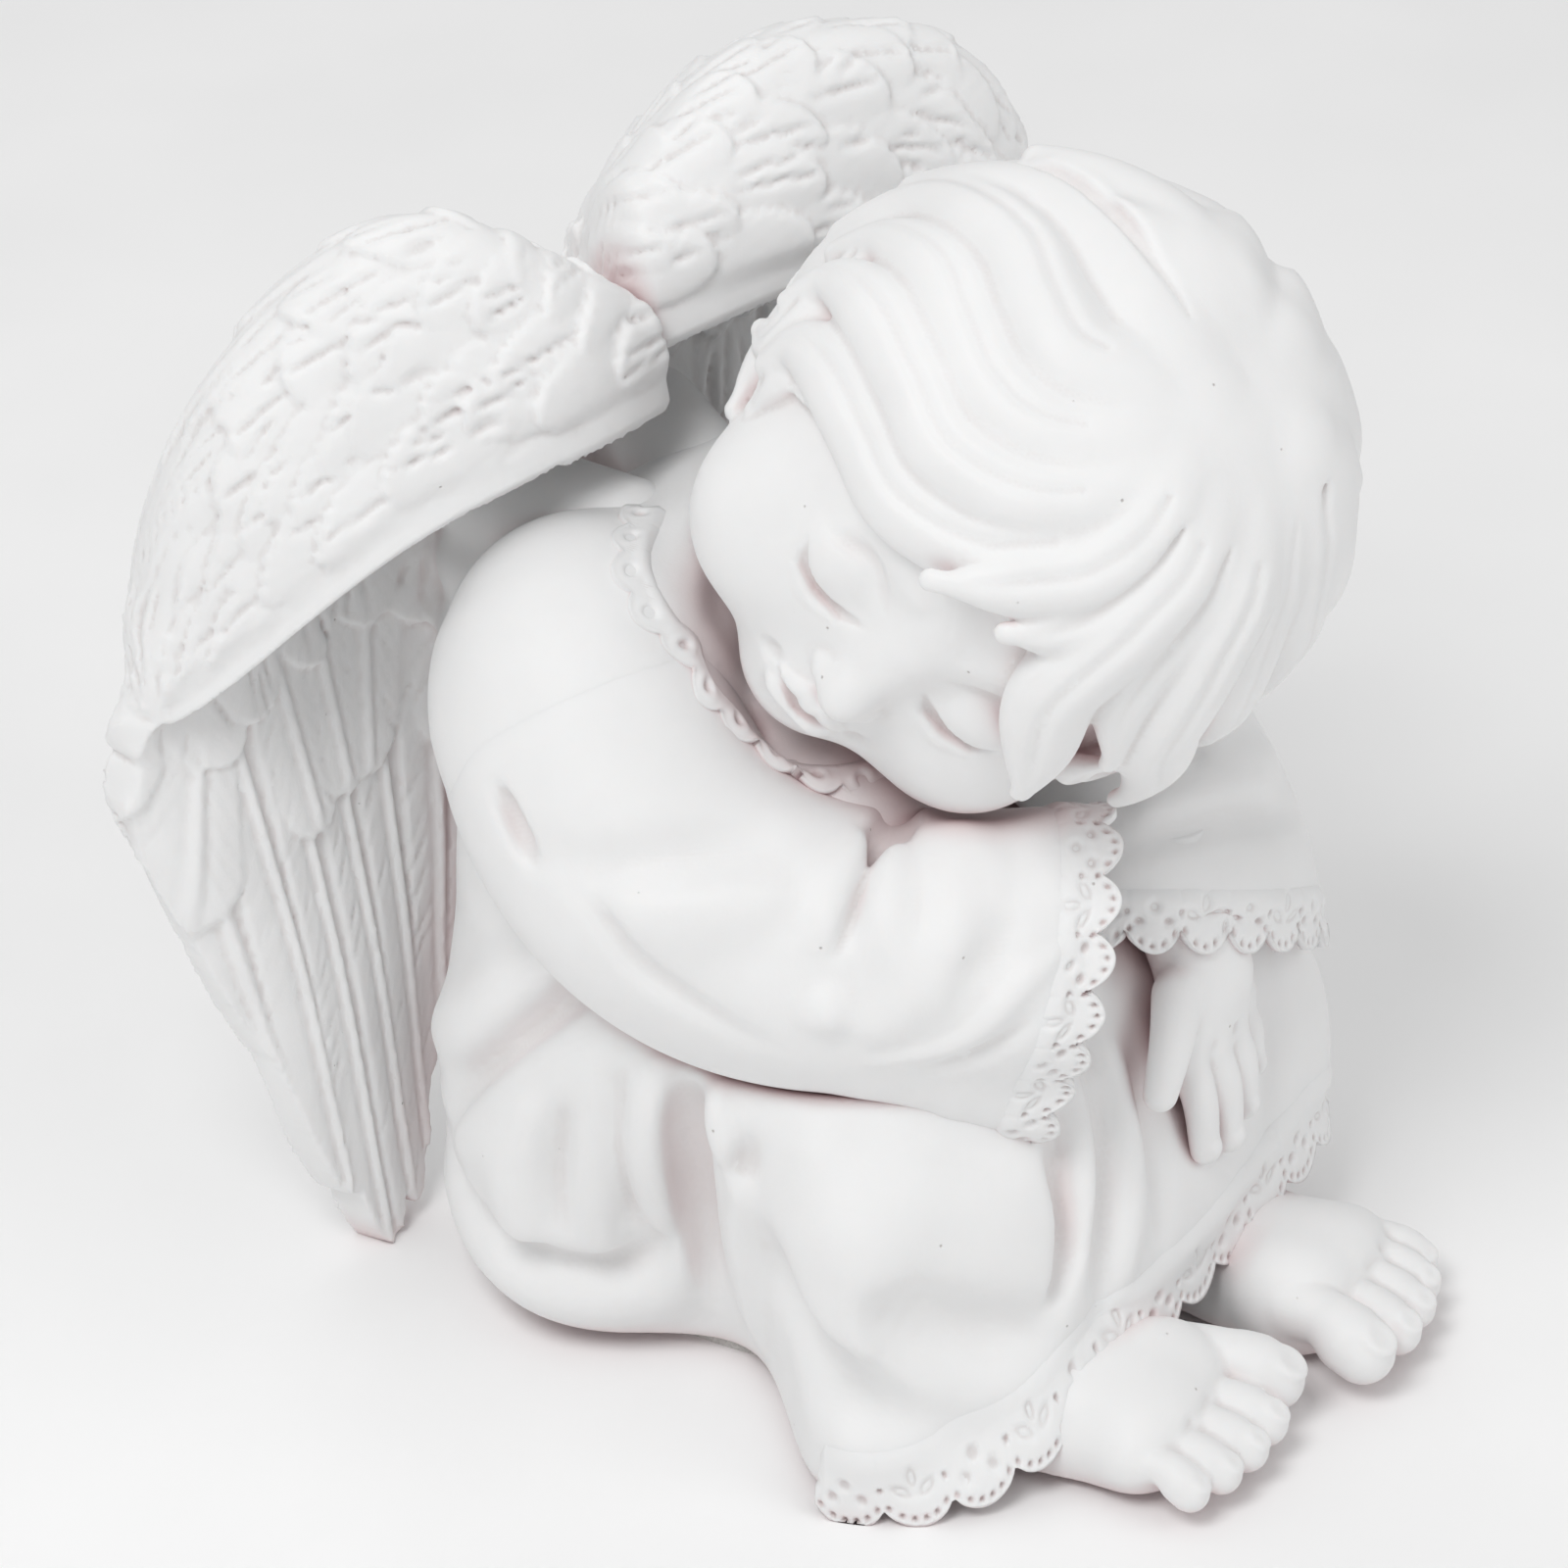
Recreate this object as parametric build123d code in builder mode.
"""A seated, sleeping cherub with folded wings, built as the castings it is glued up from.

The figure sits on a flat base, knees drawn up, with its arms crossed on its knees and its head laid
sideways on its arms. Frame: millimetres, +Z up, origin on the table under the middle of the seat.
The figure faces -Y, so its right-hand side is -X. The right arm and right cheek face -X.
"""

from build123d import *
import os

# ---- driving dimensions, mm ------------------------------------------------------------------
FELT = 1.0  # thickness of the sheet glued under the base
SEAT_Z = FELT  # underside of every casting
WALL = 5.0  # wall of the hollow robe casting
PLUG_R = 8.0  # pour-hole plug
PLUG_FLANGE = 1.5  # extra radius of the plug's outer lip
LIP = 1.5  # thickness of that lip
PIN_R = 1.25  # steel dowel
PIN_CLEARANCE = 0.05  # radial glue gap round a dowel
PIN_LENGTH = 14.0

HEAD_CENTRE = Vector(-0.4, -17, 84.5)
CROWN_DIRECTION = Vector(-0.03, -0.78, 0.63)  # from the neck to the top of the head
FACE_DIRECTION = Vector(-0.97, -0.12, -0.20)  # the way the face looks
SKULL_R = 24.2
HAIR_R = 25.4

WING_THICK = 4.5
SHOULDER_TWIST = 34.0  # degrees the left wing is swung forward of square to the spine
UP = Vector(0, 0, 1)

os.makedirs("parts", exist_ok=True)


# ---- shared shapes -----------------------------------------------------------------------------
def egg(radii):
    """An ellipsoid about the origin, with radii along X, Y and Z."""
    return scale(Solid.make_sphere(1, angle1=-90, angle2=90, angle3=360), by=radii)


def blob_loft(sections):
    """A solid through closed smooth outlines, each (height, points)."""
    with BuildPart() as blob:
        for height, points in sections:
            with BuildSketch(Plane.XY.offset(height)):
                with BuildLine():
                    Spline(*points, periodic=True)
                make_face()
        loft()
    return blob.part


def limb(stations):
    """A tapering limb through ovals, each (centre, heading, half width, half height, roll)."""
    with BuildPart() as bough:
        for centre, heading, half_width, half_height, roll in stations:
            across = UP.cross(heading).rotate(Axis((0, 0, 0), heading), roll)
            with BuildSketch(Plane(origin=centre, x_dir=across, z_dir=heading)):
                Ellipse(half_width, half_height)
        loft()
    return bough.part


def finger(start, end, radius):
    """A straight finger or toe with round ends."""
    run = Vector(end) - Vector(start)
    axis = Plane(origin=start, z_dir=run)
    with BuildPart() as digit:
        with Locations(axis.location):
            Cylinder(radius, run.length, align=(Align.CENTER, Align.CENTER, Align.MIN))
        with Locations(start, end):
            Sphere(radius)
    return digit.part


def finish(name, solid_part):
    """Labels a finished piece and writes it."""
    solid_part.label = name
    export_step(solid_part, f"parts/{name}.step")


def pins(places, along):
    """Dowels centred on places, and the slightly larger holes they are glued into."""
    both = []
    for radius, length in ((PIN_R, PIN_LENGTH), (PIN_R + PIN_CLEARANCE, PIN_LENGTH + 2 * PIN_CLEARANCE)):
        with BuildPart() as rods:
            for place in places:
                with Locations(Plane(origin=place, z_dir=along).location):
                    Cylinder(radius, length)
        both.append(rods.part)
    return both


# ---- head --------------------------------------------------------------------------------------
head_place = Plane(
    origin=HEAD_CENTRE, x_dir=CROWN_DIRECTION.cross(FACE_DIRECTION), z_dir=CROWN_DIRECTION
)
# In the head's own frame: +Z is the crown, -Y the face and -X its right ear.
hair_shell = egg((HAIR_R, HAIR_R * 1.02, HAIR_R * 0.98))
skull = egg((SKULL_R, SKULL_R, SKULL_R))
cheeks = egg((24.0, 20.0, 20.0))
nose = egg((2.6, 3.0, 2.8))
with BuildPart() as head_local:
    with Locations((0, 1, 1)):
        add(hair_shell)
    hairline = Plane(origin=(0, -8, -4), z_dir=(0, 0.78, 0.62))
    split(bisect_by=hairline, keep=Keep.TOP)
    add(skull)
    with Locations((0, -5, -8)):
        add(cheeks)
    with Locations((0, -24.0, -6)):
        add(nose)
head_whole = head_place.location * head_local.part

# ---- wings -------------------------------------------------------------------------------------
# Each row is a station out from the spine, then (back, up) of the rim, crest, back, waist and tip.
# The two wings are modelled apart: the shoulders are twisted and the left wing stands higher.
RIGHT_WING = (
    (36, ((41, 62), (45, 73), (48, 69), (49, 57), (48, 44))),
    (31, ((33, 71), (41, 88), (48, 79), (48, 56), (43, 26))),
    (25, ((26, 78), (36, 98), (46, 87), (47, 58), (39, 8))),
    (18, ((20, 82), (30, 103), (43, 92), (46, 60), (38, 2))),
    (11, ((16, 84), (25, 99), (38, 92), (43, 62), (39, 14))),
    (4, ((15, 84), (21, 93), (32, 89), (37, 66), (37, 42))),
)
LEFT_WING = (
    (46, ((32, 70), (34, 85), (40, 79), (44, 62), (43, 46))),
    (40, ((26, 80), (32, 98), (42, 88), (46, 59), (41, 26))),
    (31, ((23, 87), (30, 105.5), (43, 94), (47, 61), (38, 8))),
    (21, ((20, 90), (28, 107.5), (42, 98), (46, 64), (38, 2))),
    (12, ((18, 90), (26, 106), (39, 97), (43, 66), (39, 14))),
    (4, ((18, 88), (24, 100), (33, 94), (37, 68), (37, 42))),
)
LEFT_WING_ROOT = Vector(-15, 4.3, 0)
RIM_TO_TIP_INSET = ((0.4, -0.5), (0.3, -1.0), (-0.8, -0.7), (-1.0, 0.0), (-0.8, 0.1))
BOSS_HALF = 4.5  # half width of the block that seats on the back
BOSS_FRONT, BOSS_DEPTH = 22.0, 13.0
PIN_HEIGHTS = (60.0, 71.0)


def wing(root, out, back, rows, boss_station):
    """A hollow-fronted wing in the frame (out, back, up), the dowels for it and their holes."""
    holes_and_rods = pins([root + out * boss_station + back * 24 + UP * z for z in PIN_HEIGHTS], back)
    with BuildPart() as casting:
        for station, outline in rows:
            outer = [Vector(*p) for p in outline]
            inner = [p + Vector(*step) * WING_THICK for p, step in zip(outer, RIM_TO_TIP_INSET)]
            face = Plane(origin=root + out * station, x_dir=back, z_dir=back.cross(UP))
            with BuildSketch(face):
                with BuildLine():
                    over = Spline(*outer)
                    tip = Line(over @ 1, inner[-1])
                    under = Spline(*reversed(inner))
                    Line(under @ 1, over @ 0)
                make_face()
        loft()
        seat = Plane(
            origin=root + out * boss_station + back * BOSS_FRONT + UP * 66, x_dir=out, z_dir=back
        )
        with BuildSketch(seat):
            Ellipse(BOSS_HALF, 12.0)
        extrude(amount=BOSS_DEPTH)
        add(holes_and_rods[1], mode=Mode.SUBTRACT)
    return casting.part, holes_and_rods[0], holes_and_rods[1]


right_wing, right_pins, right_pin_holes = wing(
    Vector(0, 0, 0), Vector(-1, 0, 0), Vector(0, 1, 0), RIGHT_WING, 8.0
)
left_out = Vector(1, 0, 0).rotate(Axis.Z, -SHOULDER_TWIST)
left_wing, left_pins, left_pin_holes = wing(
    LEFT_WING_ROOT, left_out, left_out.rotate(Axis.Z, 90), LEFT_WING, 8.0
)

# ---- feet --------------------------------------------------------------------------------------
def foot(heel, toes, spread, side):
    """A chubby bare foot. spread is half the toe row's width; side is -1 for the big toe at +X."""
    heel, toes = Vector(*heel), Vector(*toes)
    ahead = (toes - heel).normalized()
    across = Vector(-ahead.Y, ahead.X, 0) * side
    middle = (heel + toes) / 2
    turn = Plane(origin=(0, 0, 0), x_dir=across, z_dir=(0, 0, 1))
    instep = egg((spread * 0.95, (toes - heel).length * 0.56, 9.0))
    heel_ball = egg((7.5, 8.0, 12.0))
    radii = (3.6, 2.7, 2.6, 2.4, 2.4)
    reach = (1.0, 1.8, 1.2, 0.0, -1.8)
    steps = (0.78, 0.30, -0.08, -0.44, -0.80)
    toe_eggs = [egg((r, 5.0, r * 1.1)) for r in radii]
    with BuildPart() as sole:
        with Locations(Plane(origin=middle + Vector(0, 0, 3), x_dir=turn.x_dir, z_dir=(0, 0, 1)).location):
            add(instep)
        with Locations(heel + Vector(0, 0, 7)):
            add(heel_ball)
        for toe, step, far, radius in zip(toe_eggs, steps, reach, radii):
            spot = toes + across * step * spread + ahead * far + Vector(0, 0, radius + 0.3)
            with Locations(Plane(origin=spot, x_dir=turn.x_dir, z_dir=(0, 0, 1)).location):
                add(toe)
        split(bisect_by=Plane.XY.offset(SEAT_Z), keep=Keep.TOP)
    return sole.part


right_foot_solid = foot((-15, -22, 0), (-10, -43, 0), 10.0, 1)
left_foot_solid = foot((13, -24, 0), (13, -46, 0), 10.0, -1)

# ---- left hand ---------------------------------------------------------------------------------
palm = egg((6.8, 3.6, 7.5))
fingers = [
    finger((3.6, -31, 29), (4.2, -33.2, 21.5), 1.9),
    finger((7.2, -31.4, 28), (7.6, -33.4, 20.8), 1.9),
    finger((10.8, -31.4, 28), (11.2, -33.0, 22), 1.8),
    finger((14.0, -31, 29), (14.4, -32.2, 24), 1.6),
    finger((3.0, -30.5, 37), (-1.6, -31.5, 32.5), 2.2),
]
wrist = limb(
    [
        (Vector(11, -25, 43), Vector(-0.2, -0.5, -0.85), 5.6, 5.0, 0),
        (Vector(9.5, -29.5, 36), Vector(-0.1, -0.3, -0.95), 5.6, 3.8, 0),
    ]
)
with BuildPart() as left_hand:
    with Locations((8.6, -30.6, 31)):
        add(palm)
    add(wrist)
    for digit in fingers:
        add(digit)

# ---- sleeves -----------------------------------------------------------------------------------
# Stations run from the shoulder over the elbow to the open cuff.
RIGHT_SLEEVE = [
    (Vector(-15, 18, 68), Vector(-0.55, -0.55, -0.60), 11.0, 12.0, 0),
    (Vector(-22, 11, 60), Vector(-0.25, -0.70, -0.65), 13.0, 13.0, 0),
    (Vector(-23, 1, 51), Vector(0.05, -0.90, -0.40), 12.5, 13.5, 0),
    (Vector(-18, -12, 47), Vector(0.45, -0.88, -0.05), 11.5, 12.5, 0),
    (Vector(-5.5, -27.5, 44.5), Vector(0.62, -0.78, 0.0), 8.5, 14.0, 0),
]
LEFT_SLEEVE = [
    (Vector(14, 14, 68), Vector(0.60, -0.55, -0.58), 10.0, 11.0, 0),
    (Vector(20, 4, 58), Vector(0.25, -0.85, -0.45), 12.0, 12.0, 0),
    (Vector(22, -8, 51), Vector(-0.1, -0.95, -0.35), 11.5, 11.0, 0),
    (Vector(19, -19, 46), Vector(-0.3, -0.7, -0.55), 11.5, 9.5, -15),
    (Vector(14.3, -27, 36), Vector(-0.45, -0.25, -0.86), 14.5, 7.5, -52),
]
sleeve_r = limb(RIGHT_SLEEVE)
sleeve_l = limb(LEFT_SLEEVE)
shoulder_egg = egg((12, 12, 12))
with BuildPart() as right_sleeve:
    add(sleeve_r)
    with Locations((-17, 15, 66)):
        add(shoulder_egg)
    add(head_whole, mode=Mode.SUBTRACT)
    add(right_wing, mode=Mode.SUBTRACT)
    add(right_pin_holes, mode=Mode.SUBTRACT)
with BuildPart() as left_sleeve:
    add(sleeve_l)
    with Locations((16, 11, 66)):
        add(shoulder_egg)
    add(head_whole, mode=Mode.SUBTRACT)
    add(left_wing, mode=Mode.SUBTRACT)
    add(left_pin_holes, mode=Mode.SUBTRACT)
    add(right_sleeve.part, mode=Mode.SUBTRACT)
    add(left_hand.part, mode=Mode.SUBTRACT)

# ---- robe casting ------------------------------------------------------------------------------
# Outlines of the skirt at four heights, round from the back by the figure's left.
SKIRT = [
    (
        SEAT_Z,
        [(0, 33), (19, 26), (25, 10), (27, -10), (27, -26), (8, -31)]
        + [(-17, -30), (-33, -18), (-19, -1), (-24, 13), (-17, 27)],
    ),
    (
        14.0,
        [(0, 35), (21, 28), (27, 11), (30, -8), (31, -30), (10, -34)]
        + [(-16, -30), (-29, -18), (-23, 0), (-29, 15), (-19, 30)],
    ),
    (
        28.0,
        [(0, 34), (20, 28), (26, 11), (29, -8), (30, -27), (10, -30)]
        + [(-13, -28), (-27, -18), (-28, 0), (-28, 16), (-18, 30)],
    ),
    (
        42.0,
        [(0, 33), (18, 27), (23, 12), (25, -6), (23, -20), (8, -22)]
        + [(-8, -21), (-20, -17), (-25, -4), (-25, 14), (-16, 29)],
    ),
]
skirt = blob_loft(SKIRT)
TORSO = [
    (34.0, 0, 15.0, 25.0, 19.5),
    (50.0, 0, 15.0, 24.0, 18.5),
    (63.0, 0, 13.0, 21.0, 16.5),
    (72.0, 0, 10.0, 15.0, 13.5),
    (78.0, -0.5, 5.0, 9.5, 9.5),
]
with BuildPart() as torso:
    for height, x, y, half_x, half_y in TORSO:
        with BuildSketch(Plane(origin=(x, y, height))):
            Ellipse(half_x, half_y)
    loft()
with BuildPart() as cavity:
    for height, y, half_x, half_y in ((SEAT_Z + WALL, 6, 15, 18), (28, 8, 18, 18), (44, 14, 15, 12), (54, 14, 9, 8)):
        with BuildSketch(Plane(origin=(0, y, height))):
            Ellipse(half_x, half_y)
    loft()
neck_pin, neck_pin_hole = pins([(-1, 2.5, 71)], CROWN_DIRECTION)
with BuildPart() as body_casting:
    add(skirt)
    add(torso.part)
    add(cavity.part, mode=Mode.SUBTRACT)
    with Locations((0, 6, SEAT_Z)):
        Cylinder(PLUG_R, WALL + 2, align=(Align.CENTER, Align.CENTER, Align.MIN), mode=Mode.SUBTRACT)
        Cylinder(PLUG_R + PLUG_FLANGE, LIP, align=(Align.CENTER, Align.CENTER, Align.MIN), mode=Mode.SUBTRACT)
    for neighbour in (head_whole, right_sleeve.part, left_sleeve.part, right_wing, left_wing):
        add(neighbour, mode=Mode.SUBTRACT)
    for neighbour in (right_foot_solid, left_foot_solid, left_hand.part):
        add(neighbour, mode=Mode.SUBTRACT)
    for hole in (right_pin_holes, left_pin_holes, neck_pin_hole):
        add(hole, mode=Mode.SUBTRACT)

with BuildPart() as head_casting:
    add(head_whole)
    add(neck_pin_hole, mode=Mode.SUBTRACT)
# ---- underside ---------------------------------------------------------------------------------
with BuildPart() as pour_plug:
    with Locations((0, 6, SEAT_Z)):
        Cylinder(PLUG_R + PLUG_FLANGE, LIP, align=(Align.CENTER, Align.CENTER, Align.MIN))
        Cylinder(PLUG_R, WALL - 0.5, align=(Align.CENTER, Align.CENTER, Align.MIN))
with BuildPart() as base_felt:
    with BuildSketch(Plane.XY):
        with Locations((0, 4)):
            Ellipse(18, 24)
    extrude(amount=FELT)

for name, piece in (
    ("body_casting", max(body_casting.part.solids(), key=lambda solid: solid.volume)),
    ("head_casting", head_casting.part),
    ("right_wing", right_wing),
    ("left_wing", left_wing),
    ("right_sleeve", right_sleeve.part),
    ("left_sleeve", left_sleeve.part),
    ("left_hand", left_hand.part),
    ("right_foot", right_foot_solid),
    ("left_foot", left_foot_solid),
    ("right_wing_dowels", right_pins),
    ("left_wing_dowels", left_pins),
    ("neck_dowel", neck_pin),
    ("pour_plug", pour_plug.part),
    ("base_felt", base_felt.part),
):
    finish(name, piece)
